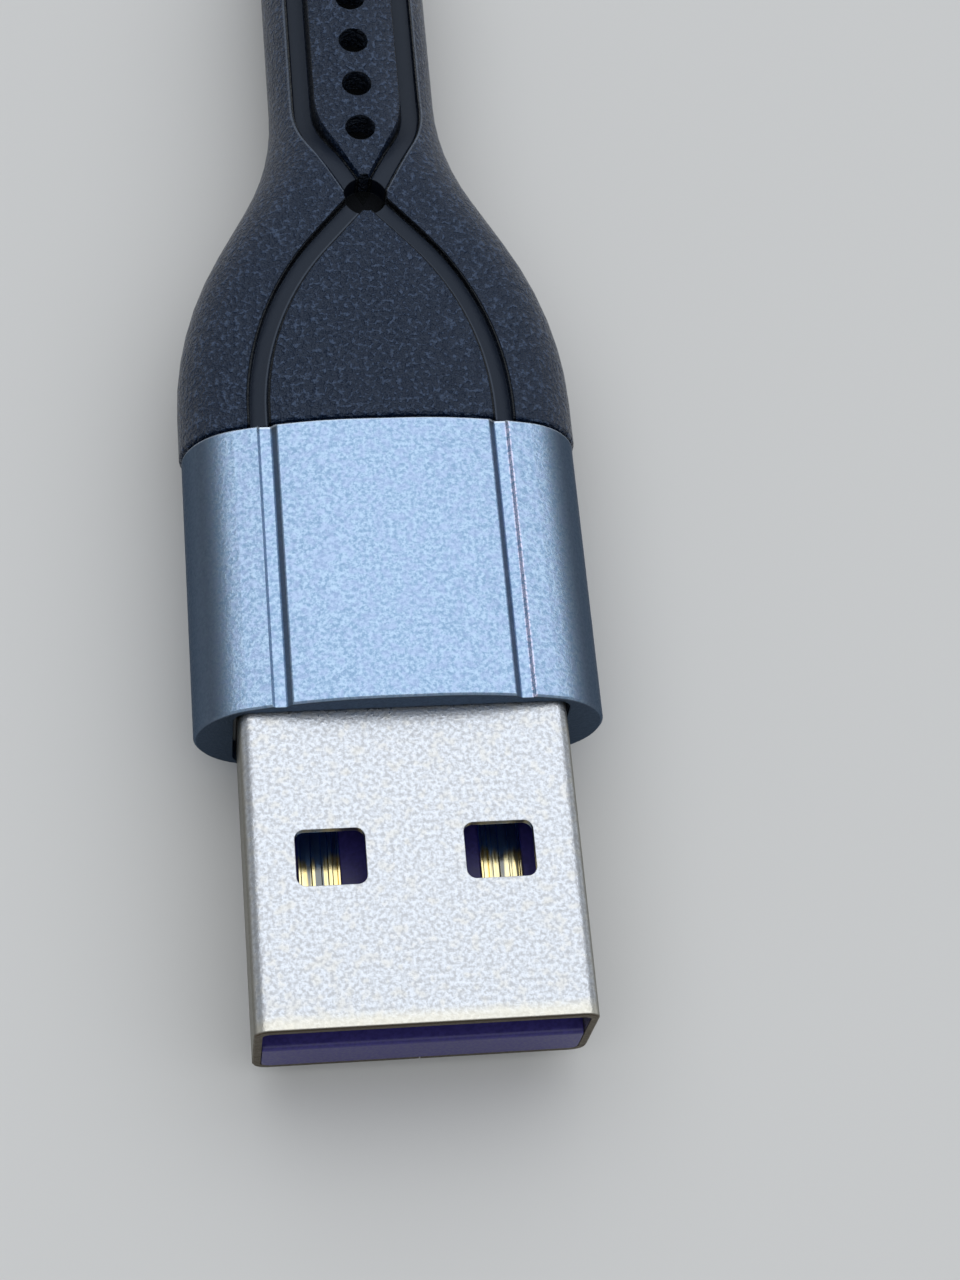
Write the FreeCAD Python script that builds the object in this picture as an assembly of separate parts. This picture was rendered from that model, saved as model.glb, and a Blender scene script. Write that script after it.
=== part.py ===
"""Plug end of a charging cable: folded shell, contact tongue, metal sleeve and moulded strain relief.

Millimetres. +Y runs from the plug's mouth to the cord end, +X to the right and +Z up.
The origin is the middle of the sleeve's underside, on whose flat middle the plug rests.
"""

import FreeCAD, Part
import math
import os

from FreeCAD import Vector

# Sleeve, a drawn metal tube with a closed front wall, its faces crowned beside a flat middle
sleeve_side_margin = 1.6
sleeve_face_margin = 1.05
flat_width = 1.72
crown_drop = 0.805
sleeve_length = 11.5
sleeve_wall = 0.34
sleeve_front_wall = 0.8
sleeve_front_bevel = 0.1
sleeve_rear_bevel = 0.06
groove_side_margin = 3.21
groove_width = 0.78
groove_depth = 0.19
groove_inner_slope = 0.27
groove_outer_slope = 0.12

# Shell, one folded sheet with its seam underneath
shell_width = 12.0
shell_height = 4.5
shell_sheet = 0.3
shell_corner_radius = 0.6
shell_reach = 11.75
shell_seat_depth = 7.0
shell_mouth_bevel = 0.06
shell_gap = 0.15
seam_gap = 0.06
dovetail_setback = 6.0
dovetail_head = 2.2
dovetail_neck = 1.4
dovetail_reach = 1.1
window_width = 2.5
window_length = 2.1
window_corner_radius = 0.35
window_setback = 5.16
window_side_margin = 1.75

# Contact tongue and the block behind it
tongue_thickness = 1.95
tongue_side_clearance = 0.03
tongue_edge_radius = 0.18
cavity_depth = 9.0

# Contacts, the wide pair near the tongue's sides and the narrow pair about its middle
power_contact_side_margin = 1.59
power_contact_width = 1.56
data_contact_spacing = 2.0
data_contact_width = 1.0
contact_thickness = 0.25
contact_stand = 0.04
contact_setback = 0.9
contact_hook_depth = 0.7
contact_bend_radius = 0.2
rib_height = 0.07
rib_slope = 0.04
bead_width = 0.14
main_rib_width = 0.4
main_rib_offset = 0.1
side_rib_width = 0.2
side_rib_offset = 0.4
tail_width = 1.0
tail_length = 2.2

# Retainer that holds the contact tails inside the rear of the shell
retainer_length = 2.4
retainer_setback = 0.4
retainer_clearance = 0.05
retainer_slot_clearance = 0.05

# Inner mould between the shell and the sleeve, with a notched nose that the strain relief grips
mould_clearance = 0.02
tail_clearance = 1.1
nose_width = 7.0
nose_height = 4.6
nose_length = 4.2
nose_notch_depth = 0.4
nose_notch_width = 0.8
nose_notch_pitch = 1.6
nose_notch_count = 2
wire_hole_radius = 1.3

# Strain relief, moulded in one piece with the sleeve's section, which narrows to a round neck
boot_gap = 0.12
boot_side_stand = 0.09
boot_length = 28.0
boot_front_bevel = 0.08
boot_end_bevel = 0.4
neck_flat = 0.22
shoulder_corner = 5.5
shoulder_lean = 29.0
shoulder_bend = 14.0
neck_bend = 11.0
bend_steps = 6
cord_radius = 1.9

# Channels that cross over on the strain relief, on both faces
channel_width = 0.74
channel_depth = 0.3
channel_draft = 6.0
channel_past_groove = 0.27
channel_crossing = 10.02
channel_lean = 41.0
channel_bend = 11.0
neck_channel_width = 0.68
neck_channel_offset = 2.17
neck_channel_crossing = 9.5
neck_channel_lean = 27.5
neck_channel_bend = 4.8
neck_channel_drop = 1.36
neck_channel_end_margin = 2.6
drop_start = 10.7
drop_length = 4.8

# Blind holes down the middle of both faces
cross_hole_radius = 0.86
cross_hole_depth = 1.2
hole_radius = 0.59
hole_depth = 1.15
first_hole = 13.11
hole_pitch = 2.14
hole_count = 6

# Sizes that follow from those above
sleeve_width = shell_width + 2 * sleeve_side_margin
sleeve_height = shell_height + 2 * sleeve_face_margin
crown_reach = (shell_width - flat_width) / 2
crown_radius = (crown_reach ** 2 + crown_drop ** 2) / (2 * crown_drop)
groove_centre = sleeve_width / 2 - groove_side_margin
window_centre = shell_width / 2 - window_side_margin - window_width / 2
tongue_half_width = shell_width / 2 - shell_sheet - tongue_side_clearance
power_contact_offset = tongue_half_width - power_contact_side_margin - power_contact_width / 2
data_contact_offset = data_contact_spacing / 2
axis_height = sleeve_height / 2
sleeve_front = -sleeve_length / 2
sleeve_rear = sleeve_length / 2
mouth = sleeve_front - shell_reach
shell_rear = sleeve_front + shell_seat_depth
shell_floor = axis_height - shell_height / 2 + shell_sheet
shell_ceiling = axis_height + shell_height / 2 - shell_sheet
tongue_top = shell_floor + tongue_thickness
cavity_end = mouth + cavity_depth
retainer_rear = shell_rear - retainer_setback
block_rear = retainer_rear - retainer_length
tail_end = retainer_rear + tail_length
contact_front = mouth + contact_setback
boot_front = sleeve_rear + boot_gap
boot_end = boot_front + boot_length
spigot_front = tail_end + tail_clearance
nose_end = sleeve_rear + nose_length
mould_inset = sleeve_wall + mould_clearance
boot_half_width = sleeve_width / 2 + boot_side_stand
neck_half_width = (sleeve_height + neck_flat) / 2
channel_offset = groove_centre + channel_past_groove
beyond = 1.0
tolerance = 0.0001


def box(x_low, x_high, y_low, y_high, z_low, z_high):
    """A plain block between two corners."""
    size = (x_high - x_low, y_high - y_low, z_high - z_low)
    return Part.makeBox(*size, Vector(x_low, y_low, z_low))


def mirrored(shape):
    """The same shape on the other side of the plug's middle."""
    return shape.mirror(Vector(0, 0, 0), Vector(1, 0, 0))


def upside_down(shape):
    """The same shape on the underside, mirrored at the plug's mid height."""
    return shape.mirror(Vector(0, 0, axis_height), Vector(0, 0, 1))


def oval(inset, half_width, y):
    """A section across the plug: flat in the middle, crowned beside it and round at the sides."""
    flat = flat_half(half_width)
    reach = half_width - inset - flat
    height = sleeve_height / 2 - inset
    crown = crown_radius - inset
    side = (2 * height * crown - reach ** 2 - height ** 2) / (2 * (crown - reach))
    lean = math.atan2(reach - side, crown - height)

    def on_crown(angle, right, up):
        x = flat + crown * math.sin(angle)
        z = height - crown + crown * math.cos(angle)
        return Vector(right * x, y, axis_height + up * z)

    edges = []
    for right, up in ((1, 1), (1, -1), (-1, -1), (-1, 1)):
        inner = on_crown(0, right, up)
        middle = on_crown(lean / 2, right, up)
        outer = on_crown(lean, right, up)
        if right == up:
            tip = Vector(right * (half_width - inset), y, axis_height)
            edges.append(Part.makeLine(on_crown(0, -right, up), inner))
            edges.append(Part.Arc(inner, middle, outer).toShape())
            edges.append(Part.Arc(outer, tip, on_crown(lean, right, -up)).toShape())
        else:
            edges.append(Part.Arc(outer, middle, inner).toShape())
    return Part.Wire(edges)


def flat_half(half_width):
    """Half the width of a section's flat middle, which tapers to nothing where the section is round."""
    roundness = (sleeve_width - 2 * half_width) / (sleeve_width - sleeve_height)
    return flat_width / 2 * (1 - roundness)


def oval_bar(inset, y_low, y_high):
    """A bar with the sleeve's section, smaller all round by the inset."""
    face = Part.Face(oval(inset, sleeve_width / 2, y_low))
    return face.extrude(Vector(0, y_high - y_low, 0))


def crown_height(x):
    """Height of the sleeve's crowned top at a distance from the middle."""
    past_flat = x - flat_half(sleeve_width / 2)
    return sleeve_height - crown_radius + math.sqrt(crown_radius ** 2 - past_flat ** 2)


def rounded_bar(width, height, radius, y_low, y_high):
    """A rectangular bar along the plug with its four long edges rounded."""
    bar = centred_bar(width, height, y_low, y_high)
    return bar.makeFillet(radius, edges_along_y(bar))


def centred_bar(width, height, y_low, y_high):
    """A rectangular bar along the plug, centred on its axis."""
    return box(-width / 2, width / 2, y_low, y_high, axis_height - height / 2, axis_height + height / 2)


def edges_along_y(shape):
    """The straight edges that run from mouth to cord."""
    found = []
    for edge in shape.Edges:
        ends = [vertex.Point for vertex in edge.Vertexes]
        span = ends[-1] - ends[0]
        if abs(span.x) < tolerance and abs(span.z) < tolerance and abs(span.y) > tolerance:
            found.append(edge)
    return found


def edges_at_y(shape, y):
    """The edges that lie in the plane across the plug at y."""
    found = []
    for edge in shape.Edges:
        limits = edge.BoundBox
        if abs(limits.YMin - y) < tolerance and abs(limits.YMax - y) < tolerance:
            found.append(edge)
    return found


def make_sleeve():
    """Tube with a closed front wall, an opening for the shell and four long grooves."""
    half = sleeve_width / 2
    tube = Part.makeLoft([
        oval(sleeve_front_bevel, half, sleeve_front),
        oval(0, half, sleeve_front + sleeve_front_bevel),
        oval(0, half, sleeve_rear - sleeve_rear_bevel),
        oval(sleeve_rear_bevel, half, sleeve_rear),
    ], True, True)
    hollow_front = sleeve_front + sleeve_front_wall
    tube = tube.cut(oval_bar(sleeve_wall, hollow_front, sleeve_rear + beyond))
    opening_width = shell_width + 2 * shell_gap
    opening_height = shell_height + 2 * shell_gap
    opening_radius = shell_corner_radius + shell_gap
    y_low = sleeve_front - beyond
    y_high = hollow_front + beyond
    tube = tube.cut(rounded_bar(opening_width, opening_height, opening_radius, y_low, y_high))
    for groove in sleeve_grooves():
        tube = tube.cut(groove)
    return tube


def sleeve_grooves():
    """Cutters for the grooves, with the wider slope on the side of the middle panel."""
    inner = groove_centre - groove_width / 2
    outer = groove_centre + groove_width / 2
    floor = crown_height(groove_centre) - groove_depth
    inner_run = groove_inner_slope / (crown_height(inner) - floor)
    outer_run = groove_outer_slope / (crown_height(outer) - floor)
    above = sleeve_height + beyond
    y = sleeve_front - beyond
    corners = [
        Vector(inner + groove_inner_slope, y, floor),
        Vector(outer - groove_outer_slope, y, floor),
        Vector(outer - groove_outer_slope + outer_run * (above - floor), y, above),
        Vector(inner + groove_inner_slope - inner_run * (above - floor), y, above),
    ]
    profile = Part.Face(Part.makePolygon(corners + corners[:1]))
    right = profile.extrude(Vector(0, sleeve_length + 2 * beyond, 0))
    pair = [right, mirrored(right)]
    return pair + [upside_down(groove) for groove in pair]


def make_shell():
    """Folded sheet with latch windows in both faces and a dovetailed seam underneath."""
    outside = rounded_bar(shell_width, shell_height, shell_corner_radius, mouth, shell_rear)
    outside = outside.makeChamfer(shell_mouth_bevel, edges_at_y(outside, mouth))
    inner_width = shell_width - 2 * shell_sheet
    inner_height = shell_height - 2 * shell_sheet
    inner_radius = shell_corner_radius - shell_sheet
    inside = rounded_bar(inner_width, inner_height, inner_radius, mouth - beyond, shell_rear + beyond)
    shell = outside.cut(inside)
    shell = shell.cut(shell_windows())
    return shell.cut(shell_seam())


def shell_windows():
    """The four latch windows, cut straight through both faces."""
    y_low = mouth + window_setback
    y_high = y_low + window_length
    x_low = window_centre - window_width / 2
    window = box(x_low, x_low + window_width, y_low, y_high, -beyond, sleeve_height + beyond)
    upright = [edge for edge in window.Edges if edge.BoundBox.ZLength > sleeve_height]
    window = window.makeFillet(window_corner_radius, upright)
    return window.fuse(mirrored(window))


def shell_seam():
    """The slit where the sheet's edges meet, with one dovetail that locks them."""
    path = seam_path()
    slits = [seam_slit(path[index], path[index + 1]) for index in range(len(path) - 1)]
    return slits[0].fuse(slits[1:]).removeSplitter()


def seam_path():
    """Points of the seam from the mouth to the rear, stepping round the dovetail."""
    start = mouth + dovetail_setback
    end = start + dovetail_head
    inset = (dovetail_head - dovetail_neck) / 2
    return [
        Vector(0, mouth - beyond, 0),
        Vector(0, start + inset, 0),
        Vector(dovetail_reach, start, 0),
        Vector(dovetail_reach, end, 0),
        Vector(0, end - inset, 0),
        Vector(0, shell_rear + beyond, 0),
    ]


def seam_slit(start, end):
    """One straight stretch of the slit, with round ends, through the lower face of the sheet."""
    low = axis_height - shell_height / 2 - beyond
    height = beyond + shell_sheet + seam_gap
    along = (end - start).normalize()
    side = Vector(-along.y, along.x, 0) * (seam_gap / 2)
    lift = Vector(0, 0, low)
    corners = [start + side + lift, end + side + lift, end - side + lift, start - side + lift]
    slit = Part.Face(Part.makePolygon(corners + corners[:1])).extrude(Vector(0, 0, height))
    return slit.fuse(Part.makeCylinder(seam_gap / 2, height, end + lift))


def make_tongue(contacts):
    """Moulded tongue and block, with a seat for each contact."""
    half = tongue_half_width
    radius = shell_corner_radius - shell_sheet
    full = rounded_bar(2 * half, shell_ceiling - shell_floor, radius, mouth, block_rear)
    side = half + beyond
    cavity = box(-side, side, mouth - beyond, cavity_end, tongue_top, shell_ceiling + beyond)
    tongue = full.cut(cavity)
    lip = [
        edge
        for edge in edges_at_y(tongue, mouth)
        if abs(edge.BoundBox.ZMin - tongue_top) < tolerance and edge.BoundBox.XLength > half
    ]
    tongue = tongue.makeFillet(tongue_edge_radius, lip)
    for contact in contacts:
        tongue = tongue.cut(contact)
    return tongue


def contact_section(width, ribs):
    """Cross-section of a contact's wiping length, with its lengthwise ribs."""
    low = tongue_top + contact_stand - contact_thickness
    top = tongue_top + contact_stand
    points = [(-width / 2, low)]
    for centre, rib_width in sorted(ribs):
        left = centre - rib_width / 2
        right = centre + rib_width / 2
        points.append((left, top))
        points.append((left + rib_slope, top + rib_height))
        points.append((right - rib_slope, top + rib_height))
        points.append((right, top))
    if not ribs:
        points.append((-width / 2, top))
        points.append((width / 2, top))
    points.append((width / 2, low))
    return points


def power_ribs(width, outward):
    """Beads along both edges of a wide contact and two ribs between them."""
    edge = (width - bead_width) / 2
    return [
        (-edge, bead_width),
        (edge, bead_width),
        (outward * main_rib_offset, main_rib_width),
        (-outward * side_rib_offset, side_rib_width),
    ]


def make_contact(offset, width, ribs):
    """A stamped strip: hooked front end, wiping length on the tongue and a solder tail."""
    section = [
        Vector(offset + x, contact_front + contact_bend_radius, z)
        for x, z in contact_section(width, ribs)
    ]
    wiping = Part.Face(Part.makePolygon(section + section[:1]))
    wiping = wiping.extrude(Vector(0, cavity_end - contact_front - contact_bend_radius, 0))
    top = tongue_top + contact_stand
    low = top - contact_thickness
    left = offset - width / 2
    right = offset + width / 2
    bar = box(left, right, contact_front, cavity_end, low, top)
    hook = box(left, right, contact_front, contact_front + contact_thickness, top - contact_hook_depth, top)
    bent = bar.fuse(hook).removeSplitter()
    bend = [
        edge
        for edge in edges_at_y(bent, contact_front)
        if abs(edge.BoundBox.ZMin - top) < tolerance and edge.BoundBox.XLength > width / 2
    ]
    bent = bent.makeFillet(contact_bend_radius, bend)
    half_tail = min(tail_width, width) / 2
    tail = box(offset - half_tail, offset + half_tail, cavity_end - beyond, tail_end, low, top)
    return bent.fuse([wiping, tail]).removeSplitter()


def make_contacts():
    """The four contacts by name, from right to left as seen from above with the mouth in front."""
    power = power_contact_offset
    data = data_contact_offset
    left_ribs = power_ribs(power_contact_width, -1)
    right_ribs = power_ribs(power_contact_width, 1)
    return {
        "contact_power": make_contact(power, power_contact_width, right_ribs),
        "contact_data_minus": make_contact(data, data_contact_width, []),
        "contact_data_plus": make_contact(-data, data_contact_width, []),
        "contact_ground": make_contact(-power, power_contact_width, left_ribs),
    }


def make_retainer(contacts):
    """Plastic block behind the tongue with one slot for each contact tail."""
    half = shell_width / 2 - shell_sheet - retainer_clearance
    height = shell_ceiling - shell_floor - 2 * retainer_clearance
    radius = shell_corner_radius - shell_sheet
    block = rounded_bar(2 * half, height, radius, block_rear, retainer_rear)
    low = tongue_top + contact_stand - contact_thickness
    y_low = block_rear - beyond
    y_high = retainer_rear + beyond
    for contact in contacts:
        limits = contact.BoundBox
        middle = (limits.XMin + limits.XMax) / 2
        half_slot = min(tail_width, limits.XLength) / 2 + retainer_slot_clearance
        block = block.cut(box(middle - half_slot, middle + half_slot, y_low, y_high, low, shell_ceiling))
    return block


def make_inner_mould(inside_pieces):
    """Stiff plastic that fills the sleeve round the shell, with a notched nose for the strain relief."""
    front = sleeve_front + sleeve_front_wall
    mould = oval_bar(mould_inset, front, spigot_front)
    nose = centred_bar(nose_width, nose_height, spigot_front, nose_end)
    for index in range(nose_notch_count):
        nose = nose.cut(nose_notch(nose_end - nose_notch_pitch * (index + 1)))
    mould = mould.fuse(nose)
    shell_block = rounded_bar(shell_width, shell_height, shell_corner_radius, front - beyond, shell_rear)
    mould = mould.cut(shell_block)
    for piece in inside_pieces:
        mould = mould.cut(piece)
    return mould.cut(round_hole(wire_hole_radius, tail_end, nose_end + beyond)).removeSplitter()


def round_hole(radius, y_low, y_high):
    """Cutter for a round hole along the plug's axis."""
    return Part.makeCylinder(radius, y_high - y_low, Vector(0, y_low, axis_height), Vector(0, 1, 0))


def nose_notch(y):
    """Cutter for one notch that runs round the nose."""
    outer = centred_bar(nose_width + beyond, nose_height + beyond, y, y + nose_notch_width)
    core_width = nose_width - 2 * nose_notch_depth
    core_height = nose_height - 2 * nose_notch_depth
    return outer.cut(centred_bar(core_width, core_height, y, y + nose_notch_width))


def corner_arc(before, corner, after, radius):
    """First and last point, centre and signed turn of the arc that rounds a corner."""
    inward = (corner - before).normalize()
    outward = (after - corner).normalize()
    turn = math.atan2(inward.x * outward.y - inward.y * outward.x, inward.dot(outward))
    tangent_length = radius * math.tan(abs(turn) / 2)
    first = corner - inward * tangent_length
    last = corner + outward * tangent_length
    left = Vector(-inward.y, inward.x, 0)
    centre = first + left * math.copysign(radius, turn)
    return first, last, centre, math.degrees(turn)


def shoulder_line():
    """Points along the boot's right outline, seen from above, from the front to the end."""
    narrowing = (boot_half_width - neck_half_width) / math.tan(math.radians(shoulder_lean))
    start = Vector(boot_half_width, boot_front + boot_front_bevel, 0)
    wide_corner = Vector(boot_half_width, boot_front + shoulder_corner, 0)
    narrow_corner = Vector(neck_half_width, wide_corner.y + narrowing, 0)
    end = Vector(neck_half_width, boot_end - boot_end_bevel, 0)
    bends = [
        (start, wide_corner, narrow_corner, shoulder_bend),
        (wide_corner, narrow_corner, end, neck_bend),
    ]
    points = [start]
    for before, corner, after, radius in bends:
        first, last, centre, turn = corner_arc(before, corner, after, radius)
        for step in range(bend_steps + 1):
            turned = FreeCAD.Rotation(Vector(0, 0, 1), turn * step / bend_steps)
            points.append(centre + turned.multVec(first - centre))
    return points + [end]


def boot_body():
    """Outer form of the boot, run through sections along the shoulder line."""
    sections = [oval(boot_front_bevel, boot_half_width, boot_front)]
    sections += [oval(0, point.x, point.y) for point in shoulder_line()]
    sections.append(oval(boot_end_bevel, neck_half_width, boot_end))
    return Part.makeLoft(sections, True, True)


def ribbon_profile(place, width, height):
    """Upright section of a channel at a point of its middle line, as wide as stated at one height."""
    spread = math.tan(math.radians(channel_draft))
    low = axis_height
    high = sleeve_height + beyond
    low_half = width / 2 - (height - low) * spread
    high_half = width / 2 + (high - height) * spread
    corners = [
        Vector(place.x - low_half, place.y, low),
        Vector(place.x + low_half, place.y, low),
        Vector(place.x + high_half, place.y, high),
        Vector(place.x - high_half, place.y, high),
    ]
    return Part.Face(Part.makePolygon(corners + corners[:1]))


def bent_ribbon(profile, start, corner, end, radius):
    """A profile carried along two straight stretches and the arc between them."""
    first, last, centre, turn = corner_arc(start, corner, end, radius)
    upward = Vector(0, 0, 1)
    straight = profile.extrude(first - start)
    profile = profile.translated(first - start)
    bend = profile.revolve(centre, upward, turn)
    profile = profile.rotated(centre, upward, turn)
    return straight.fuse([bend, profile.extrude(end - last)])


def front_ribbon():
    """Cutter for a channel from the right of the boot's front to the crossing."""
    crossing = boot_front + channel_crossing
    lean = math.tan(math.radians(channel_lean))
    start = Vector(channel_offset, boot_front - beyond, 0)
    corner = Vector(channel_offset, crossing - channel_offset / lean, 0)
    profile = ribbon_profile(start, channel_width, crown_height(channel_offset))
    ribbon = bent_ribbon(profile, start, corner, Vector(0, crossing, 0), channel_bend)
    core = Part.Face(oval(channel_depth, boot_half_width, boot_front - beyond))
    return ribbon.cut(core.extrude(Vector(0, boot_length, 0)))


def neck_ribbon():
    """Cutter for a channel from the neck's end back to the crossing, with a floor that dips."""
    crossing = boot_front + neck_channel_crossing
    lean = math.tan(math.radians(neck_channel_lean))
    start = Vector(neck_channel_offset, boot_end - neck_channel_end_margin, 0)
    corner = Vector(neck_channel_offset, crossing + neck_channel_offset / lean, 0)
    profile = ribbon_profile(start, neck_channel_width, sleeve_height - neck_channel_drop)
    ribbon = bent_ribbon(profile, start, corner, Vector(0, crossing, 0), neck_channel_bend)
    return ribbon.common(above_neck_floor())


def above_neck_floor():
    """Space over the floor of the neck's channels, which dips where the boot turns round."""
    y_start = boot_front + neck_channel_crossing - beyond
    y_low = boot_front + drop_start
    y_high = y_low + drop_length
    y_middle = (y_low + y_high) / 2
    high = sleeve_height - channel_depth
    low = sleeve_height - neck_channel_drop
    top = sleeve_height + beyond
    side = -boot_half_width
    dip = Part.BezierCurve()
    dip.setPoles([
        Vector(side, y_low, high),
        Vector(side, y_middle, high),
        Vector(side, y_middle, low),
        Vector(side, y_high, low),
    ])
    points = [
        Vector(side, y_high, low),
        Vector(side, boot_end, low),
        Vector(side, boot_end, top),
        Vector(side, y_start, top),
        Vector(side, y_start, high),
        Vector(side, y_low, high),
    ]
    outline = Part.Wire([dip.toShape()] + Part.makePolygon(points).Edges)
    return Part.Face(outline).extrude(Vector(2 * boot_half_width, 0, 0))


def hole_cutter(radius, depth, y):
    """Round blind hole in the top face, measured from the boot's front."""
    place = Vector(0, boot_front + y, sleeve_height - depth)
    return Part.makeCylinder(radius, depth + beyond, place, Vector(0, 0, 1))


def hole_cutters():
    """The large hole at the crossing and the row of small ones along the neck, on both faces."""
    cutters = [hole_cutter(cross_hole_radius, cross_hole_depth, channel_crossing)]
    for index in range(hole_count):
        cutters.append(hole_cutter(hole_radius, hole_depth, first_hole + index * hole_pitch))
    return cutters + [upside_down(cutter) for cutter in cutters]


def make_strain_relief(inner_mould):
    """Boot with a spigot in the sleeve, crossing channels, rows of holes and the cord's bore."""
    boot = boot_body()
    right = [front_ribbon(), neck_ribbon()]
    upper = right + [mirrored(ribbon) for ribbon in right]
    channels = upper + [upside_down(ribbon) for ribbon in upper]
    for cutter in channels + hole_cutters():
        boot = boot.cut(cutter)
    boot = boot.fuse(oval_bar(mould_inset, spigot_front, boot_front + boot_front_bevel))
    boot = boot.cut(inner_mould)
    bore = round_hole(cord_radius, nose_end, boot_end + beyond)
    wires = round_hole(wire_hole_radius, spigot_front - beyond, nose_end)
    return boot.cut([bore, wires])


def main():
    """Make every piece and write each one to its own file."""
    contacts = make_contacts()
    strips = list(contacts.values())
    tongue = make_tongue(strips)
    retainer = make_retainer(strips)
    inner_mould = make_inner_mould([retainer] + strips)
    pieces = {
        "plug_shell": make_shell(),
        "contact_tongue": tongue,
        "tail_retainer": retainer,
        "inner_mould": inner_mould,
        "sleeve": make_sleeve(),
        "strain_relief": make_strain_relief(inner_mould),
    }
    pieces.update(contacts)
    os.makedirs("parts", exist_ok=True)
    for name, piece in pieces.items():
        piece.exportStep("parts/" + name + ".step")
        print(name, "solids", len(piece.Solids), "valid", piece.isValid(), "volume", round(piece.Volume, 3))


main()
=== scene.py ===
"""Charging cable plug on a plain pale floor, dressed with procedural materials around the fixed frame."""

import math

import bpy
from mathutils import Matrix, Vector


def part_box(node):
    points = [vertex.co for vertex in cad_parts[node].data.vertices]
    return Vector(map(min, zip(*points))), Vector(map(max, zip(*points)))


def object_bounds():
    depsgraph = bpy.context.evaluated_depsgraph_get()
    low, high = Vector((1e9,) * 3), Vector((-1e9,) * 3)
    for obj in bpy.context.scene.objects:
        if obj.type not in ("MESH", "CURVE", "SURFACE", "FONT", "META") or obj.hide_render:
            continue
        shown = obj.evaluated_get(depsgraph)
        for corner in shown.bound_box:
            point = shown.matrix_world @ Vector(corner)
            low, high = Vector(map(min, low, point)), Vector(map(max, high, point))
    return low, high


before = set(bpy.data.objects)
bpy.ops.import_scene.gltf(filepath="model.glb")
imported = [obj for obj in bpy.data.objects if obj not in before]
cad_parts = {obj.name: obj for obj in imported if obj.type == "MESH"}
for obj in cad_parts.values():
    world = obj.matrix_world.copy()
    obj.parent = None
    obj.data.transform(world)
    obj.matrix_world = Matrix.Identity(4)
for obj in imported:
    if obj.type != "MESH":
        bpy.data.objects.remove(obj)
cad_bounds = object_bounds()

MM = 0.001

# Camera of the photograph, in metres, found from the outlines of shell and sleeve
CAMERA_PLACE = Vector((-8.80, -41.12, 88.99)) * MM
CAMERA_RIGHT = Vector((0.99116, -0.08646, 0.10065))
CAMERA_UP = Vector((0.03671, 0.90762, 0.41818))
CAMERA_LENS = 70.78
CAMERA_SENSOR = 36.0
CAMERA_NEAR = 0.001
CAMERA_FAR = 20.0

# Soft sky, its edges in degrees from straight up: a wide panel, a brighter strip across it, a dim surround
PANEL_COLOUR = (0.97, 1.0, 1.04, 1.0)
PANEL_LEVEL = 1.08
PANEL_LEFT = (-54.0, -38.0)
PANEL_RIGHT = (52.0, 68.0)
PANEL_FRONT = (-50.0, -30.0)
PANEL_BACK = (74.0, 84.0)
STRIP_LEVEL = 1.45
STRIP_FRONT = (4.0, 14.0)
STRIP_BACK = (36.0, 46.0)
SURROUND_COLOUR = (0.92, 0.96, 1.0, 1.0)
SURROUND_LEVEL = 0.33

# Low sky, which carries the floor's tone on past its edge, by the height of its direction
HORIZON_LEVEL = 0.56
HORIZON_HEIGHT = (0.01, 0.08)

# Plain floor
FLOOR_SIZE = 4.0
FLOOR_COLOUR = (0.64, 0.635, 0.62, 1.0)
FLOOR_ROUGHNESS = 0.8

# How far noise usually swings, how softly a band ends, in millimetres, and how finely a bevel is sampled
NOISE_SWING = (0.3, 0.7)
BAND_FADE = 0.03
BEVEL_SAMPLES = 6


def corners(node):
    """Lowest and highest corner of a node of the frame, in millimetres."""
    low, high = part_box(node)
    return low / MM, high / MM


# Places on the shell, the contacts and the sleeve that their finishes, painted shade and painted highlights
# follow, in millimetres
shell_low, shell_high = corners("plug_shell")
sleeve_low, sleeve_high = corners("sleeve")
SHELL_CUT_Y = (shell_low.y + 0.02, shell_low.y + 0.10)
SHELL_LIP_Y = (shell_low.y + 0.2, shell_low.y + 0.7)
SHELL_BEND_X = (shell_high.x - 0.20, shell_high.x - 0.04)
SHELL_SKIN_Z = (shell_high.z - 0.28, shell_high.z - 0.03)
SHELL_INNER_X = shell_high.x - 0.5
CONTACT_SHADE_Y = (shell_low.y + 6.1, shell_low.y + 6.4)
SLEEVE_FRONT_Y = (sleeve_low.y + 0.01, sleeve_low.y + 0.05)
SLEEVE_REAR_Y = (sleeve_high.y - 0.12, sleeve_high.y - 0.04)
SLEEVE_FLANK_X = (sleeve_high.x - 1.7, sleeve_high.x - 0.6)
GROOVE_X = sleeve_high.x - 3.21
GROOVE_INNER_X = (GROOVE_X - 0.35, GROOVE_X - 0.17)
GROOVE_OUTER_X = (GROOVE_X + 0.25, GROOVE_X + 0.43)

# Channels of the strain relief, which run straight beside the middle and bend to the crossing
BOOT_FRONT_Y = sleeve_high.y + 0.12
BOOT_END_Y = corners("strain_relief")[1].y
FRONT_CHANNEL = {
    "side_x": GROOVE_X + 0.27,
    "lean": math.radians(41.0),
    "bend": 11.0,
    "crossing_y": BOOT_FRONT_Y + 10.02,
    "heading": -1.0,
}
NECK_CHANNEL = {
    "side_x": 2.17,
    "lean": math.radians(27.5),
    "bend": 4.8,
    "crossing_y": BOOT_FRONT_Y + 9.5,
    "heading": 1.0,
}
NECK_CHANNEL_END_Y = BOOT_END_Y - 2.57

# Distances from a channel's middle line, outwards positive, and one added past its ends, where it stops
CHANNEL_FLOOR = (0.30, 0.36)
CHANNEL_LIP = (0.34, 0.44)
# Where painted highlights run along the lips of the neck and front channels
NECK_HIGHLIGHT = (0.45, 0.52)
FRONT_HIGHLIGHT = (-0.32, -0.25)
FAR_OUTSIDE = 10.0

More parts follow.
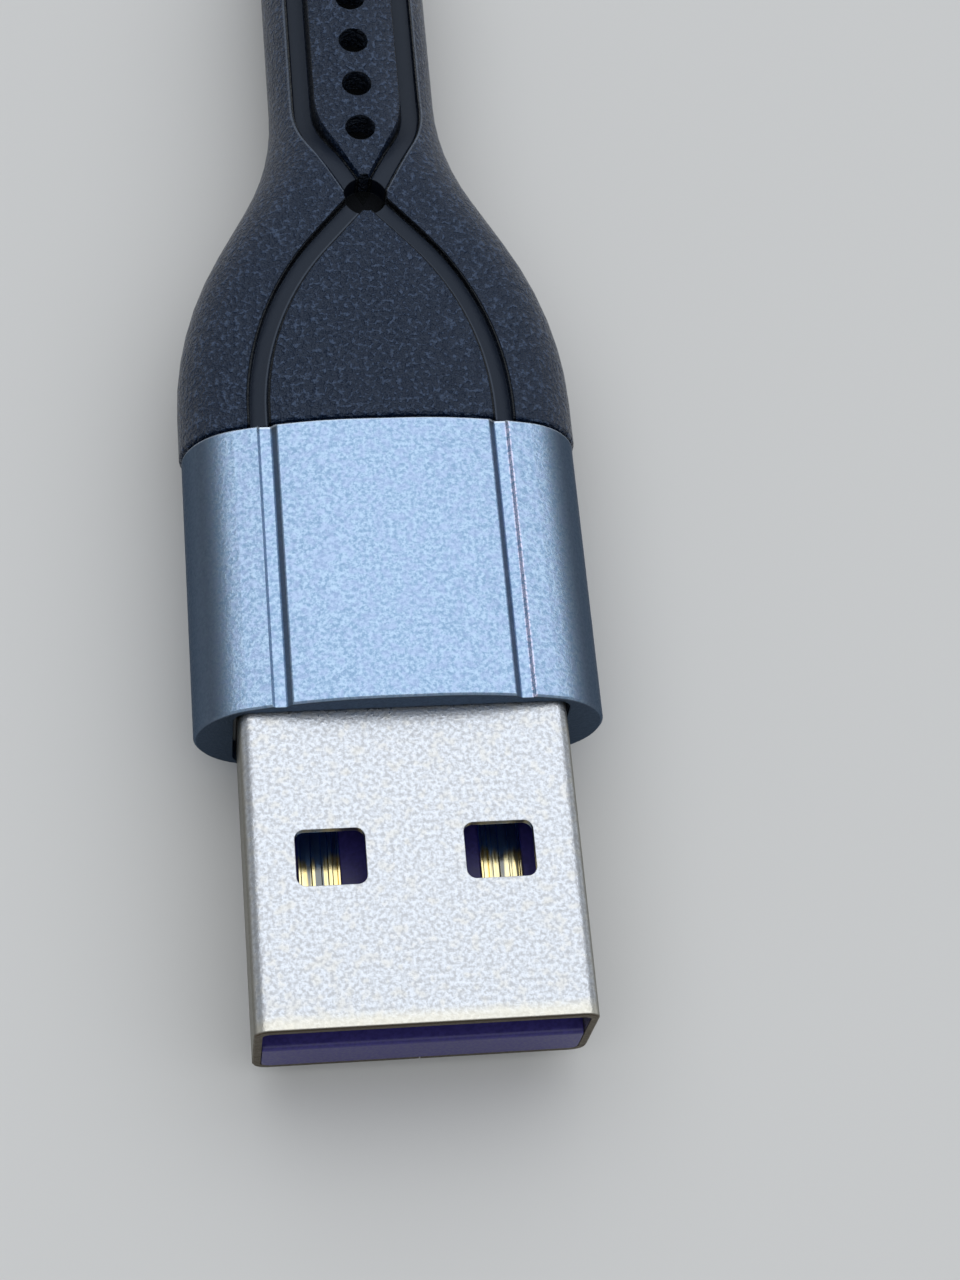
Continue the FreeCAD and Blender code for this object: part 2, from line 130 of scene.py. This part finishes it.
# Holes along the middle of the strain relief
CROSS_HOLE_EDGE = (0.83, 0.89)
SMALL_HOLE_EDGE = (0.56, 0.62)
SMALL_HOLE_COUNT = 6
SMALL_HOLE_PITCH = 2.14
FIRST_HOLE_Y = BOOT_FRONT_Y + 13.11
HOLE_ROW_START_Y = FIRST_HOLE_Y - SMALL_HOLE_PITCH / 2
HOLE_ROW_END_Y = HOLE_ROW_START_Y + SMALL_HOLE_COUNT * SMALL_HOLE_PITCH


class Graph:
    """Short calls that add nodes to a material or a world."""

    def __init__(self, owner):
        owner.use_nodes = True
        self.owner = owner
        self.tree = owner.node_tree

    def add(self, kind, **settings):
        """A new node with its settings."""
        node = self.tree.nodes.new(kind)
        for key, value in settings.items():
            setattr(node, key, value)
        return node

    def feed(self, socket, value):
        """Links an output to a socket, or writes a plain value on it."""
        if isinstance(value, bpy.types.NodeSocket):
            self.tree.links.new(value, socket)
        else:
            socket.default_value = value

    def split(self, vector):
        """The three parts of a vector."""
        node = self.add("ShaderNodeSeparateXYZ")
        self.feed(node.inputs["Vector"], vector)
        return tuple(node.outputs)

    def math(self, operation, *values):
        """One arithmetic step."""
        node = self.add("ShaderNodeMath", operation=operation)
        for socket, value in zip(node.inputs, values):
            self.feed(socket, value)
        return node.outputs["Value"]

    def times(self, first, second):
        """The product of two values."""
        return self.math("MULTIPLY", first, second)

    def larger(self, first, second):
        """The larger of two values."""
        return self.math("MAXIMUM", first, second)

    def remap(self, value, low, high, to_low=0.0, to_high=1.0):
        """A soft step from to_low to to_high while the value goes from low to high."""
        node = self.add("ShaderNodeMapRange", interpolation_type="SMOOTHSTEP")
        numbers = {"Value": value, "From Min": low, "From Max": high, "To Min": to_low, "To Max": to_high}
        for name, number in numbers.items():
            self.feed(node.inputs[name], number)
        return node.outputs["Result"]

    def fade(self, value, low, high, start=1.0):
        """A soft step from start down to 0 while the value goes from low to high."""
        return self.remap(value, low, high, start, 0.0)

    def mix(self, factor, first, second):
        """The first colour where the factor is 0, the second where it is 1."""
        node = self.add("ShaderNodeMix", data_type="RGBA")
        self.feed(node.inputs["Factor"], factor)
        colours = [socket for socket in node.inputs if socket.type == "RGBA"]
        self.feed(colours[0], first)
        self.feed(colours[1], second)
        return next(socket for socket in node.outputs if socket.type == "RGBA")


class Finish(Graph):
    """The nodes of one material, with the object's own millimetres as coordinates."""

    def __init__(self, name):
        super().__init__(bpy.data.materials.new(name))
        self.shader = self.tree.nodes["Principled BSDF"]
        scale = self.add("ShaderNodeVectorMath", operation="SCALE")
        self.feed(scale.inputs["Vector"], self.add("ShaderNodeTexCoord").outputs["Object"])
        self.feed(scale.inputs["Scale"], 1.0 / MM)
        self.place = scale.outputs["Vector"]
        self.x, self.y, self.z = self.split(self.place)

    def noise(self, grain, detail=2.0, harshness=0.5, stretch=(1.0, 1.0, 1.0)):
        """Noise whose features are about one grain apart, longer where stretch is under 1."""
        mapping = self.add("ShaderNodeMapping")
        self.feed(mapping.inputs["Vector"], self.place)
        self.feed(mapping.inputs["Scale"], stretch)
        node = self.add("ShaderNodeTexNoise")
        self.feed(node.inputs["Vector"], mapping.outputs["Vector"])
        self.feed(node.inputs["Scale"], 1.0 / grain)
        self.feed(node.inputs["Detail"], detail)
        self.feed(node.inputs["Roughness"], harshness)
        return node.outputs["Fac"]

    def vary(self, noise, low, high):
        """A value that follows the noise from low to high."""
        return self.remap(noise, *NOISE_SWING, low, high)

    def tone(self, noise, first, second):
        """A colour that follows the noise from the first to the second."""
        return self.mix(self.remap(noise, *NOISE_SWING), first, second)

    def band(self, value, low, high):
        """1 between low and high, 0 outside."""
        rise = self.remap(value, low - BAND_FADE, low + BAND_FADE)
        return self.times(rise, self.fade(value, high - BAND_FADE, high + BAND_FADE))

    def bump(self, height, depth, strength, below=None):
        """Surface direction with a relief of the stated depth in millimetres."""
        node = self.add("ShaderNodeBump")
        self.feed(node.inputs["Height"], height)
        self.feed(node.inputs["Distance"], depth * MM)
        self.feed(node.inputs["Strength"], strength)
        if below is not None:
            self.feed(node.inputs["Normal"], below)
        return node.outputs["Normal"]

    def bevel(self, radius):
        """Surface direction that rounds the edges by the radius in millimetres."""
        node = self.add("ShaderNodeBevel", samples=BEVEL_SAMPLES)
        self.feed(node.inputs["Radius"], radius * MM)
        return node.outputs["Normal"]

    def surface(self, **values):
        """Feeds the shader's sockets by name and gives back the material."""
        for key, value in values.items():
            self.feed(self.shader.inputs[key.replace("_", " ")], value)
        return self.owner


# Nickel of the shell
NICKEL_DARK = (0.48, 0.49, 0.51, 1.0)
NICKEL_LIGHT = (0.66, 0.695, 0.745, 1.0)
NICKEL_WARM = (0.66, 0.64, 0.585, 1.0)
NICKEL_LIP = (0.76, 0.72, 0.60, 1.0)
# Painted shade colour for the folded sides of the shell
NICKEL_SIDE_SHADE = (0.25, 0.245, 0.225, 1.0)
# Painted shade colour for the cut edge of the mouth and the window cuts
NICKEL_CUT_SHADE = (0.10, 0.08, 0.06, 1.0)
NICKEL_TINT = (0.75, 0.74, 0.70, 1.0)
NICKEL_GRAIN = 0.15
NICKEL_GRAIN_DETAIL = 3.0
NICKEL_GRAIN_HARSHNESS = 0.65
NICKEL_PATCH = 0.30
NICKEL_GRAIN_STEP = (0.36, 0.62)
NICKEL_PATCH_STEP = (0.50, 0.70)
NICKEL_WARM_SHARE = 0.55
NICKEL_LIP_SHARE = 0.7
NICKEL_WINDOW_SHARE = 0.7
NICKEL_ROUGHNESS = (0.42, 0.26)
NICKEL_RELIEF = (0.025, 0.6)
NICKEL_EDGE = 0.04


def shell_metal():
    """Satin nickel with a fine mottled grain; painted shade darkens the folded sides, the cut edges and the
    window cuts.
    """
    n = Finish("shell_metal")
    grain = n.noise(NICKEL_GRAIN, NICKEL_GRAIN_DETAIL, NICKEL_GRAIN_HARSHNESS)
    patch = n.noise(NICKEL_PATCH)
    across = n.math("ABSOLUTE", n.x)
    warm = n.remap(patch, *NICKEL_PATCH_STEP, 0.0, NICKEL_WARM_SHARE)
    lip = n.fade(n.y, *SHELL_LIP_Y, NICKEL_LIP_SHARE)
    # Painted shade on the cut edge of the mouth and in the window cuts
    window = n.times(n.band(n.z, *SHELL_SKIN_Z), n.math("LESS_THAN", across, SHELL_INNER_X))
    cut_shade = n.larger(n.fade(n.y, *SHELL_CUT_Y), n.times(window, NICKEL_WINDOW_SHARE))
    colour = n.mix(n.remap(grain, *NICKEL_GRAIN_STEP), NICKEL_DARK, NICKEL_LIGHT)
    colour = n.mix(warm, colour, NICKEL_WARM)
    colour = n.mix(lip, colour, NICKEL_LIP)
    # Painted shade darkens the folded sides
    colour = n.mix(n.remap(across, *SHELL_BEND_X), colour, NICKEL_SIDE_SHADE)
    colour = n.mix(cut_shade, colour, NICKEL_CUT_SHADE)
    roughness = n.vary(grain, *NICKEL_ROUGHNESS)
    normal = n.bump(grain, *NICKEL_RELIEF, n.bevel(NICKEL_EDGE))
    return n.surface(Base_Color=colour, Metallic=1.0, Roughness=roughness, Normal=normal,
                     Specular_Tint=NICKEL_TINT)


# Anodised aluminium of the sleeve
ANODISE_DARK = (0.25, 0.38, 0.55, 1.0)
ANODISE_LIGHT = (0.42, 0.56, 0.72, 1.0)
ANODISE_VIOLET = (0.37, 0.455, 0.67, 1.0)
# Painted glint colour beside the right groove
ANODISE_PAINTED_GLINT = (0.72, 0.70, 0.88, 1.0)
# Painted shade colour for the flanks, the front wall and the inner groove walls
ANODISE_PAINTED_SHADE = (0.085, 0.11, 0.15, 1.0)
# Painted highlight colour for the rear edge
ANODISE_RIM_HIGHLIGHT = (0.72, 0.80, 0.90, 1.0)
ANODISE_TINT = (0.42, 0.46, 0.52, 1.0)
ANODISE_GRAIN = 0.15
ANODISE_GRAIN_DETAIL = 3.0
ANODISE_GRAIN_HARSHNESS = 0.7
ANODISE_PATCH = 0.32
ANODISE_GRAIN_STEP = (0.36, 0.64)
ANODISE_PATCH_STEP = (0.42, 0.66)
ANODISE_PAINTED_GLINT_STEP = (0.40, 0.56)
ANODISE_VIOLET_SHARE = 0.5
ANODISE_GROOVE_SHARE = 0.85
ANODISE_FLANK_SHARE = 0.9
ANODISE_RIM_HIGHLIGHT_SHARE = 0.8
ANODISE_ROUGHNESS = (0.46, 0.30)
ANODISE_RELIEF = (0.025, 0.8)
ANODISE_EDGE = 0.05


def sleeve_metal():
    """Blue anodised aluminium with a fine sparkle, a painted glint beside the right groove, painted shade on
    its flanks, front wall and groove walls, and a painted highlight on the rear edge.
    """
    n = Finish("sleeve_metal")
    grain = n.noise(ANODISE_GRAIN, ANODISE_GRAIN_DETAIL, ANODISE_GRAIN_HARSHNESS)
    patch = n.noise(ANODISE_PATCH)
    across = n.math("ABSOLUTE", n.x)
    violet = n.remap(patch, *ANODISE_PATCH_STEP, 0.0, ANODISE_VIOLET_SHARE)
    # Painted glint in the band beside the right groove
    painted_glint = n.times(n.band(n.x, *GROOVE_OUTER_X), n.remap(grain, *ANODISE_PAINTED_GLINT_STEP))
    # Painted shade on the inner groove walls, the flanks and the front wall
    groove_shade = n.times(n.band(across, *GROOVE_INNER_X), ANODISE_GROOVE_SHARE)
    flank_shade = n.remap(across, *SLEEVE_FLANK_X, 0.0, ANODISE_FLANK_SHARE)
    painted_shade = n.larger(n.larger(groove_shade, flank_shade), n.fade(n.y, *SLEEVE_FRONT_Y))
    # Painted highlight along the rear edge
    rim_highlight = n.remap(n.y, *SLEEVE_REAR_Y, 0.0, ANODISE_RIM_HIGHLIGHT_SHARE)
    colour = n.mix(n.remap(grain, *ANODISE_GRAIN_STEP), ANODISE_DARK, ANODISE_LIGHT)
    colour = n.mix(violet, colour, ANODISE_VIOLET)
    colour = n.mix(painted_glint, colour, ANODISE_PAINTED_GLINT)
    colour = n.mix(painted_shade, colour, ANODISE_PAINTED_SHADE)
    colour = n.mix(rim_highlight, colour, ANODISE_RIM_HIGHLIGHT)
    roughness = n.vary(grain, *ANODISE_ROUGHNESS)
    normal = n.bump(grain, *ANODISE_RELIEF, n.bevel(ANODISE_EDGE))
    return n.surface(Base_Color=colour, Metallic=1.0, Roughness=roughness, Normal=normal,
                     Specular_Tint=ANODISE_TINT)


def channel_line(n, side_x, lean, bend, crossing_y, heading):
    """How far outside a channel's middle line a point is, along its straight side, bend and leaning run."""
    middle_x = side_x - bend
    middle_y = crossing_y + heading * (side_x / math.tan(lean) + bend * math.tan(lean / 2))
    out = n.math("SUBTRACT", n.math("ABSOLUTE", n.x), middle_x)
    on = n.times(n.math("SUBTRACT", n.y, middle_y), -heading)
    turn = n.math("ARCTAN2", on, out)
    beside = n.larger(n.times(turn, -1.0), n.math("SUBTRACT", turn, lean))
    reach = n.math("SQRT", n.math("ADD", n.times(out, out), n.times(on, on)))
    ahead = n.times(reach, n.math("COSINE", n.larger(beside, 0.0)))
    past = n.math("GREATER_THAN", n.times(n.math("SUBTRACT", n.y, crossing_y), -heading), 0.0)
    return n.math("MULTIPLY_ADD", past, FAR_OUTSIDE, n.math("SUBTRACT", ahead, bend))


def hole_mask(n):
    """1 inside the round holes along the boot's middle, 0 around them."""
    half_pitch = SMALL_HOLE_PITCH / 2
    cross_y = n.math("SUBTRACT", n.y, FRONT_CHANNEL["crossing_y"])
    row_y = n.math("WRAP", n.math("SUBTRACT", n.y, FIRST_HOLE_Y), half_pitch, -half_pitch)
    square_x = n.times(n.x, n.x)
    cross_reach = n.math("SQRT", n.math("MULTIPLY_ADD", cross_y, cross_y, square_x))
    small_reach = n.math("SQRT", n.math("MULTIPLY_ADD", row_y, row_y, square_x))
    row_start = n.math("GREATER_THAN", n.y, HOLE_ROW_START_Y)
    row_end = n.math("LESS_THAN", n.y, HOLE_ROW_END_Y)
    small = n.times(n.fade(small_reach, *SMALL_HOLE_EDGE), n.times(row_start, row_end))
    return n.larger(n.fade(cross_reach, *CROSS_HOLE_EDGE), small)


# Elastomer of the strain relief
RUBBER_DARK = (0.003, 0.010, 0.030, 1.0)
# Painted highlight colour for the raised specks of the grain
RUBBER_SPECK_HIGHLIGHT = (0.038, 0.060, 0.112, 1.0)
RUBBER_CHANNEL = (0.002, 0.006, 0.018, 1.0)
# Painted highlight colour along the channel lips
RUBBER_LIP_HIGHLIGHT = (0.085, 0.105, 0.145, 1.0)
# Painted shade colour, near black, for the holes and the channel edges
RUBBER_HOLE_AND_EDGE_SHADE = (0.001, 0.001, 0.002, 1.0)
RUBBER_TINT = (0.82, 0.92, 1.0, 1.0)
RUBBER_LEVEL = 0.36
RUBBER_PEBBLE = 0.20
RUBBER_PEBBLE_HARSHNESS = 0.6
RUBBER_FINE = 0.09
RUBBER_FINE_SHARE = 0.25
RUBBER_GRAIN_STEP = (0.63, 0.80)
RUBBER_FRONT_HIGHLIGHT_SHARE = 0.5
RUBBER_CHANNEL_GRAIN = 0.06
RUBBER_LIP_DROP = 0.6
RUBBER_ROUGHNESS = (0.22, 0.36)
RUBBER_HOLE_ROUGHNESS = 0.95
RUBBER_CHANNEL_ROUGHNESS = 0.5
RUBBER_RELIEF_DEPTH = 0.20
RUBBER_RELIEF_STRENGTH = (1.0, 4.0)
RUBBER_EDGE = 0.06


def boot_elastomer():
    """Blue-black elastomer with a pebble grain, smooth in the channels and dull in the holes, with painted
    highlights on raised specks and channel lips and painted shade in the holes and along the channel edges.
    """
    n = Finish("boot_elastomer")
    front = channel_line(n, **FRONT_CHANNEL)
    past_end = n.math("GREATER_THAN", n.y, NECK_CHANNEL_END_Y)
    neck = n.math("MULTIPLY_ADD", past_end, FAR_OUTSIDE, channel_line(n, **NECK_CHANNEL))
    reach = n.math("MINIMUM", n.math("ABSOLUTE", front), n.math("ABSOLUTE", neck))
    channel = n.fade(reach, *CHANNEL_FLOOR)
    lip = n.band(reach, *CHANNEL_LIP)
    # Painted highlights along the outer lips of the neck channels and the inner lips of the front channels
    front_lip_highlight = n.times(n.band(front, *FRONT_HIGHLIGHT), RUBBER_FRONT_HIGHLIGHT_SHARE)
    lip_highlight = n.larger(n.band(neck, *NECK_HIGHLIGHT), front_lip_highlight)
    hole = hole_mask(n)
    fine = n.noise(RUBBER_FINE)
    pebble = n.noise(RUBBER_PEBBLE, harshness=RUBBER_PEBBLE_HARSHNESS)
    grain = n.math("MULTIPLY_ADD", fine, RUBBER_FINE_SHARE, pebble)
    relief = n.times(grain, n.remap(channel, 0.0, 1.0, 1.0, RUBBER_CHANNEL_GRAIN))
    height = n.math("SUBTRACT", relief, n.times(lip, RUBBER_LIP_DROP))
    # The raised specks of the grain get a painted highlight
    colour = n.mix(n.remap(grain, *RUBBER_GRAIN_STEP), RUBBER_DARK, RUBBER_SPECK_HIGHLIGHT)
    colour = n.mix(channel, colour, RUBBER_CHANNEL)
    colour = n.mix(lip_highlight, colour, RUBBER_LIP_HIGHLIGHT)
    # Painted shade blackens the holes and the channel edges
    colour = n.mix(n.larger(hole, lip), colour, RUBBER_HOLE_AND_EDGE_SHADE)
    dull = n.larger(n.times(hole, RUBBER_HOLE_ROUGHNESS), n.times(channel, RUBBER_CHANNEL_ROUGHNESS))
    roughness = n.larger(n.vary(fine, *RUBBER_ROUGHNESS), dull)
    strength = n.remap(hole, 0.0, 1.0, *RUBBER_RELIEF_STRENGTH)
    normal = n.bump(height, RUBBER_RELIEF_DEPTH, strength, n.bevel(RUBBER_EDGE))
    return n.surface(Base_Color=colour, Roughness=roughness, Normal=normal,
                     Specular_IOR_Level=RUBBER_LEVEL, Specular_Tint=RUBBER_TINT)


# Purple plastic of the tongue
PURPLE_DARK = (0.022, 0.017, 0.13, 1.0)
PURPLE_LIGHT = (0.034, 0.026, 0.18, 1.0)
PURPLE_GRAIN = 0.12
PURPLE_ROUGHNESS = (0.34, 0.46)
PURPLE_EDGE = 0.05
PLASTIC_RELIEF = (0.01, 0.4)


def tongue_plastic():
    """Deep purple moulded plastic."""
    n = Finish("tongue_plastic")
    fine = n.noise(PURPLE_GRAIN)
    colour = n.tone(fine, PURPLE_DARK, PURPLE_LIGHT)
    roughness = n.vary(fine, *PURPLE_ROUGHNESS)
    normal = n.bump(fine, *PLASTIC_RELIEF, n.bevel(PURPLE_EDGE))
    return n.surface(Base_Color=colour, Roughness=roughness, Normal=normal)


# Gold plating of the contacts
GOLD_DEEP = (0.98, 0.78, 0.34, 1.0)
GOLD_PALE = (1.0, 0.93, 0.60, 1.0)
# Painted shade colour for the valleys between the contact ridges
GOLD_VALLEY_SHADE = (0.12, 0.14, 0.17, 1.0)
GOLD_SHADE = (0.34, 0.58, 0.95, 1.0)
GOLD_RIDGE = 0.30
GOLD_RIDGE_DETAIL = 1.0
GOLD_RIDGE_STRETCH = (1.0, 0.04, 0.04)
GOLD_RIDGE_STEP = (0.42, 0.50)
GOLD_MARK_WIDTH = 0.07
GOLD_MARK_STRETCH = (1.0, 0.06, 1.0)
GOLD_VALLEY_SHADE_SHARE = 0.92
GOLD_SHADE_STREAK = -1.2
GOLD_ROUGHNESS = (0.10, 0.20)
GOLD_RELIEF = (0.07, 0.7)


def contact_gold():
    """Bright gold plating with fine lengthwise marks in its tone, painted shade in the valleys between its
    ridges, and painted blue-grey shade behind the windows.
    """
    n = Finish("contact_gold")
    ridge = n.noise(GOLD_RIDGE, GOLD_RIDGE_DETAIL, stretch=GOLD_RIDGE_STRETCH)
    marks = n.noise(GOLD_MARK_WIDTH, stretch=GOLD_MARK_STRETCH)
    # Painted blue-grey shade on the contacts behind the windows
    shade = n.remap(n.math("MULTIPLY_ADD", ridge, GOLD_SHADE_STREAK, n.y), *CONTACT_SHADE_Y)
    colour = n.tone(marks, GOLD_DEEP, GOLD_PALE)
    # Painted shade in the valleys between the ridges
    colour = n.mix(n.fade(ridge, *GOLD_RIDGE_STEP, GOLD_VALLEY_SHADE_SHARE), colour, GOLD_VALLEY_SHADE)
    colour = n.mix(shade, colour, GOLD_SHADE)
    roughness = n.vary(marks, *GOLD_ROUGHNESS)
    normal = n.bump(ridge, *GOLD_RELIEF)
    return n.surface(Base_Color=colour, Metallic=1.0, Roughness=roughness, Normal=normal)


# Plastics of the two hidden pieces, two tones each
RETAINER_TONES = ((0.03, 0.03, 0.034, 1.0), (0.04, 0.04, 0.044, 1.0))
MOULD_TONES = ((0.55, 0.56, 0.55, 1.0), (0.48, 0.49, 0.48, 1.0))
MOULD_GRAIN = 0.2
MOULD_ROUGHNESS = (0.45, 0.6)


def plain_mould(name, tones):
    """Moulded plastic of a hidden piece."""
    n = Finish(name)
    fine = n.noise(MOULD_GRAIN)
    roughness = n.vary(fine, *MOULD_ROUGHNESS)
    normal = n.bump(fine, *PLASTIC_RELIEF)
    return n.surface(Base_Color=n.tone(fine, *tones), Roughness=roughness, Normal=normal)


def dress(material, *nodes):
    """Gives nodes of the frame their finish."""
    for node in nodes:
        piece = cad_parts[node]
        piece.data.materials.clear()
        piece.data.materials.append(material)


def dress_frame():
    """Finishes for all the pieces."""
    dress(contact_gold(), "contact_power", "contact_data_minus", "contact_data_plus", "contact_ground")
    dress(shell_metal(), "plug_shell")
    dress(sleeve_metal(), "sleeve")
    dress(boot_elastomer(), "strain_relief")
    dress(tongue_plastic(), "contact_tongue")
    dress(plain_mould("retainer_plastic", RETAINER_TONES), "tail_retainer")
    dress(plain_mould("inner_plastic", MOULD_TONES), "inner_mould")


def make_floor():
    """Plain pale floor under the plug."""
    bpy.ops.mesh.primitive_plane_add(size=FLOOR_SIZE, location=(0.0, 0.0, cad_bounds[0][2]))
    floor = bpy.context.object
    floor.name = "floor"
    paint = Finish("floor_paint").surface(Base_Color=FLOOR_COLOUR, Roughness=FLOOR_ROUGHNESS)
    floor.data.materials.append(paint)


def make_camera():
    """The photograph's camera."""
    camera_data = bpy.data.cameras.new("camera")
    camera_data.lens = CAMERA_LENS
    camera_data.sensor_width = CAMERA_SENSOR
    camera_data.clip_start = CAMERA_NEAR
    camera_data.clip_end = CAMERA_FAR
    camera = bpy.data.objects.new("camera", camera_data)
    bpy.context.scene.collection.objects.link(camera)
    back = CAMERA_RIGHT.cross(CAMERA_UP)
    turn = Matrix((CAMERA_RIGHT, CAMERA_UP, back)).transposed().to_4x4()
    camera.matrix_world = Matrix.Translation(CAMERA_PLACE) @ turn
    bpy.context.scene.camera = camera


def make_light():
    """The soft sky: the bright panel fades into the dim surround at its four sides."""
    world = bpy.data.worlds.new("studio")
    bpy.context.scene.world = world
    sky = Graph(world)
    x, y, z = sky.split(sky.add("ShaderNodeTexCoord").outputs["Generated"])
    across = sky.math("DEGREES", sky.math("ARCTAN2", x, z))
    along = sky.math("DEGREES", sky.math("ARCTAN2", y, z))
    sides = sky.times(sky.remap(across, *PANEL_LEFT), sky.fade(across, *PANEL_RIGHT))
    ends = sky.times(sky.remap(along, *PANEL_FRONT), sky.fade(along, *PANEL_BACK))
    strip = sky.times(sky.remap(along, *STRIP_FRONT), sky.fade(along, *STRIP_BACK))
    panel = sky.times(sides, ends)
    added = sky.math("MULTIPLY_ADD", strip, STRIP_LEVEL - PANEL_LEVEL, PANEL_LEVEL - SURROUND_LEVEL)
    level = sky.math("MULTIPLY_ADD", panel, added, SURROUND_LEVEL)
    horizon = sky.fade(z, *HORIZON_HEIGHT, HORIZON_LEVEL)
    background = sky.tree.nodes["Background"]
    sky.feed(background.inputs["Color"], sky.mix(panel, SURROUND_COLOUR, PANEL_COLOUR))
    sky.feed(background.inputs["Strength"], sky.larger(level, horizon))


dress_frame()
make_floor()
make_camera()
make_light()
bpy.context.scene.view_settings.view_transform = "Standard"
